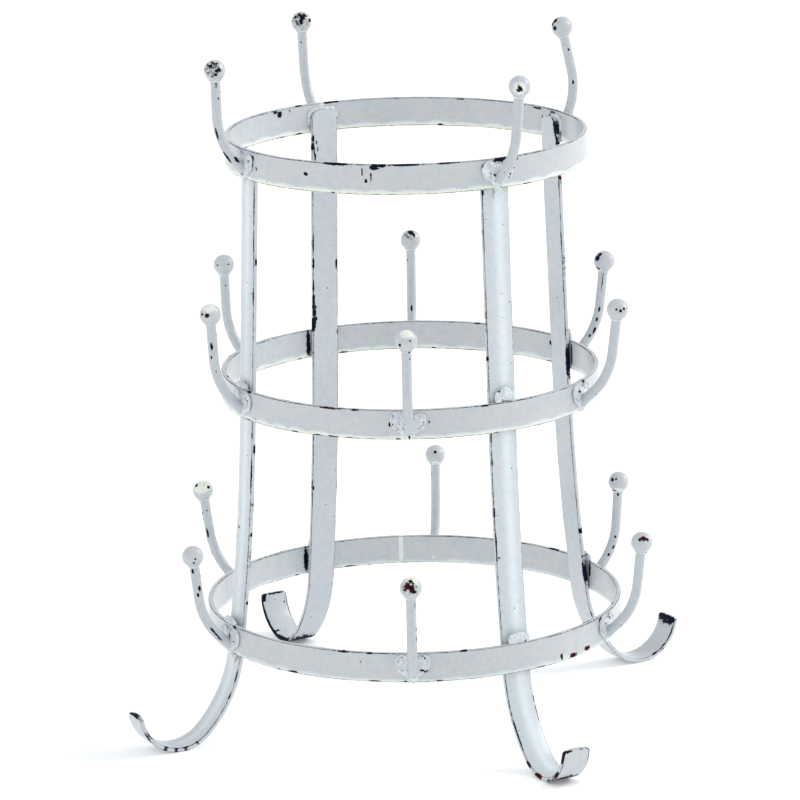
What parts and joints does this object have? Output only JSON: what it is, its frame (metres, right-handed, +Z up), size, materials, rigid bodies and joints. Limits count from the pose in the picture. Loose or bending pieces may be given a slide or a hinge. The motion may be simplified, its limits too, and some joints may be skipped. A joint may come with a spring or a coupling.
{
  "type": "mug tree",
  "caption": "Painted iron mug tree: open hoops on upturned feet, with ball-ended pegs round each hoop for hanging mugs.",
  "frame": {"origin": "on the floor, on the shared axis of the hoops", "axes": "+Z up along the axis of the hoops; the front and back legs stand on the Y axis, the left and right legs are within two degrees of the X axis"},
  "size_m": [0.4012, 0.4008, 0.4414],
  "materials": {
    "hoop_paint": "worn white brush paint, satin, chipped along the edges",
    "leg_paint": "worn white brush paint, satin, chipped along the edges",
    "peg_paint": "worn white brush paint, satin",
    "ball_paint": "worn white brush paint with cream and dark bare patches",
    "weld_paint": "lumpy weld under thick white paint"
  },
  "bodies": {
    "root": {"ball_bottom_000": "ball_paint", "ball_bottom_055": "ball_paint", "ball_bottom_120": "ball_paint", "ball_bottom_180": "ball_paint", "ball_bottom_240": "ball_paint", "ball_bottom_306": "ball_paint", "ball_middle_000": "ball_paint", "ball_middle_060": "ball_paint", "ball_middle_120": "ball_paint", "ball_middle_180": "ball_paint", "ball_middle_240": "ball_paint", "ball_middle_303": "ball_paint", "ball_top_000": "ball_paint", "ball_top_090": "ball_paint", "ball_top_180": "ball_paint", "ball_top_270": "ball_paint", "ball_welds_bottom": "weld_paint", "ball_welds_middle": "weld_paint", "ball_welds_top": "weld_paint", "hoop_bottom": "hoop_paint", "hoop_middle": "hoop_paint", "hoop_seam_welds": "weld_paint", "hoop_top": "hoop_paint", "leg_back": "leg_paint", "leg_front": "leg_paint", "leg_left": "leg_paint", "leg_right": "leg_paint", "leg_welds_bottom": "weld_paint", "leg_welds_middle": "weld_paint", "leg_welds_top": "weld_paint", "peg_bottom_000": "peg_paint", "peg_bottom_055": "peg_paint", "peg_bottom_120": "peg_paint", "peg_bottom_180": "peg_paint", "peg_bottom_240": "peg_paint", "peg_bottom_306": "peg_paint", "peg_middle_000": "peg_paint", "peg_middle_060": "peg_paint", "peg_middle_120": "peg_paint", "peg_middle_180": "peg_paint", "peg_middle_240": "peg_paint", "peg_middle_303": "peg_paint", "peg_top_000": "peg_paint", "peg_top_090": "peg_paint", "peg_top_180": "peg_paint", "peg_top_270": "peg_paint", "peg_welds_bottom": "weld_paint", "peg_welds_middle": "weld_paint", "peg_welds_top": "weld_paint"}
  },
  "joints": []
}
